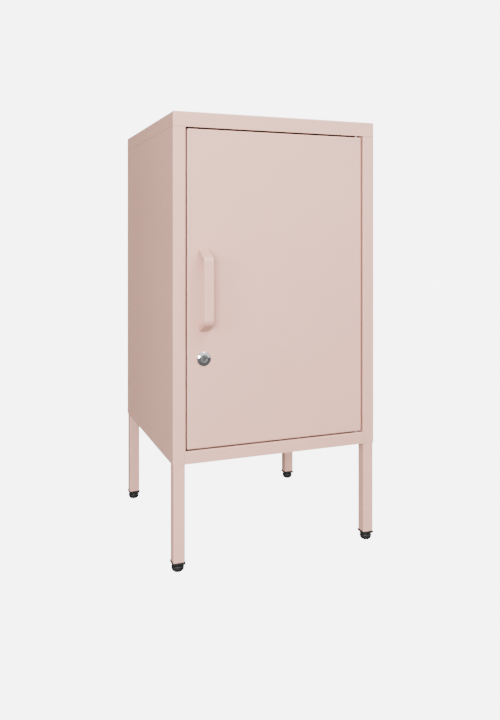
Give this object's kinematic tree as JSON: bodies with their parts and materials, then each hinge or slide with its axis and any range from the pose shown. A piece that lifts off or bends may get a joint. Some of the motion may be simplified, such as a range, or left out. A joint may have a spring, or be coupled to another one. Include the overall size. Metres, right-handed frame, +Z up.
{
  "type": "locker cabinet",
  "caption": "Small square steel locker cabinet with a flush key-lock door, bow handle, inner shelf and slim square legs on levelling feet.",
  "frame": {"origin": "on the floor, under the middle of the object's outer box, handle and rear rivets included", "axes": "+Z up, +Y to the back, +X to the right as one faces the door"},
  "size_m": [0.35, 0.3792, 0.706],
  "materials": {
    "pink_powder_coat": "pale pink satin powder coat with a fine orange-peel texture",
    "zinc_plate": "bright zinc plate",
    "chrome_plate": "polished chrome plate",
    "satin_nickel": "satin nickel",
    "black_plastic": "moulded, fine matt grain",
    "white_nylon": "natural nylon",
    "soft_rubber": "matt rubber"
  },
  "bodies": {
    "carcass": {"top_cap": "pink_powder_coat", "left_side_panel": "pink_powder_coat", "right_side_panel": "pink_powder_coat", "back_panel": "pink_powder_coat", "floor_panel": "pink_powder_coat", "bottom_rail": "pink_powder_coat", "top_rail": "pink_powder_coat", "left_cap_angle": "pink_powder_coat", "right_cap_angle": "pink_powder_coat", "shelf": "pink_powder_coat", "left_shelf_ledge": "pink_powder_coat", "right_shelf_ledge": "pink_powder_coat", "leg_front_left": "pink_powder_coat", "leg_front_right": "pink_powder_coat", "leg_rear_left": "pink_powder_coat", "leg_rear_right": "pink_powder_coat", "leg_bracket_front_left": "pink_powder_coat", "leg_bracket_front_right": "pink_powder_coat", "leg_bracket_rear_left": "pink_powder_coat", "leg_bracket_rear_right": "pink_powder_coat", "leg_bolt_front_left": "zinc_plate", "leg_bolt_front_right": "zinc_plate", "leg_bolt_rear_left": "zinc_plate", "leg_bolt_rear_right": "zinc_plate", "leg_insert_front_left": "black_plastic", "leg_insert_front_right": "black_plastic", "leg_insert_rear_left": "black_plastic", "leg_insert_rear_right": "black_plastic", "rear_rivet_lower_left": "zinc_plate", "rear_rivet_lower_right": "zinc_plate", "rear_rivet_upper_left": "zinc_plate", "rear_rivet_upper_right": "zinc_plate", "hinge_bush_lower": "white_nylon", "hinge_bush_upper": "white_nylon", "door_bumper_lower": "soft_rubber", "door_bumper_upper": "soft_rubber"},
    "door": {"door_skin": "pink_powder_coat", "door_liner": "pink_powder_coat", "pull_handle": "pink_powder_coat", "handle_screw_lower": "zinc_plate", "handle_screw_upper": "zinc_plate", "hinge_pin_lower": "zinc_plate", "hinge_pin_upper": "zinc_plate", "lock_housing": "chrome_plate", "lock_nut": "zinc_plate"},
    "lock_barrel": {"lock_plug": "satin_nickel", "lock_cam": "zinc_plate", "cam_screw": "zinc_plate"},
    "foot_front_left": {"foot_pad_front_left": "black_plastic", "foot_stud_front_left": "zinc_plate"},
    "foot_front_right": {"foot_pad_front_right": "black_plastic", "foot_stud_front_right": "zinc_plate"},
    "foot_rear_left": {"foot_pad_rear_left": "black_plastic", "foot_stud_rear_left": "zinc_plate"},
    "foot_rear_right": {"foot_pad_rear_right": "black_plastic", "foot_stud_rear_right": "zinc_plate"}
  },
  "joints": [
    {"name": "door_hinge", "type": "hinge", "parent": "carcass", "child": "door", "pos_m": [0.1443, -0.1546, 0.43], "axis": [0, 0, 1], "range_deg": [0, 108]},
    {"name": "lock_turn", "type": "hinge", "parent": "door", "child": "lock_barrel", "pos_m": [-0.126, -0.1616, 0.325], "axis": [0, 1, 0], "range_deg": [0, 90]},
    {"name": "foot_turn_front_left", "type": "hinge", "parent": "carcass", "child": "foot_front_left", "pos_m": [-0.1647, -0.1513, 0.012], "axis": [0, 0, 1], "continuous": true},
    {"name": "foot_turn_front_right", "type": "hinge", "parent": "carcass", "child": "foot_front_right", "pos_m": [0.1647, -0.1513, 0.012], "axis": [0, 0, 1], "continuous": true},
    {"name": "foot_turn_rear_left", "type": "hinge", "parent": "carcass", "child": "foot_rear_left", "pos_m": [-0.1647, 0.177, 0.012], "axis": [0, 0, 1], "continuous": true},
    {"name": "foot_turn_rear_right", "type": "hinge", "parent": "carcass", "child": "foot_rear_right", "pos_m": [0.1647, 0.177, 0.012], "axis": [0, 0, 1], "continuous": true}
  ]
}
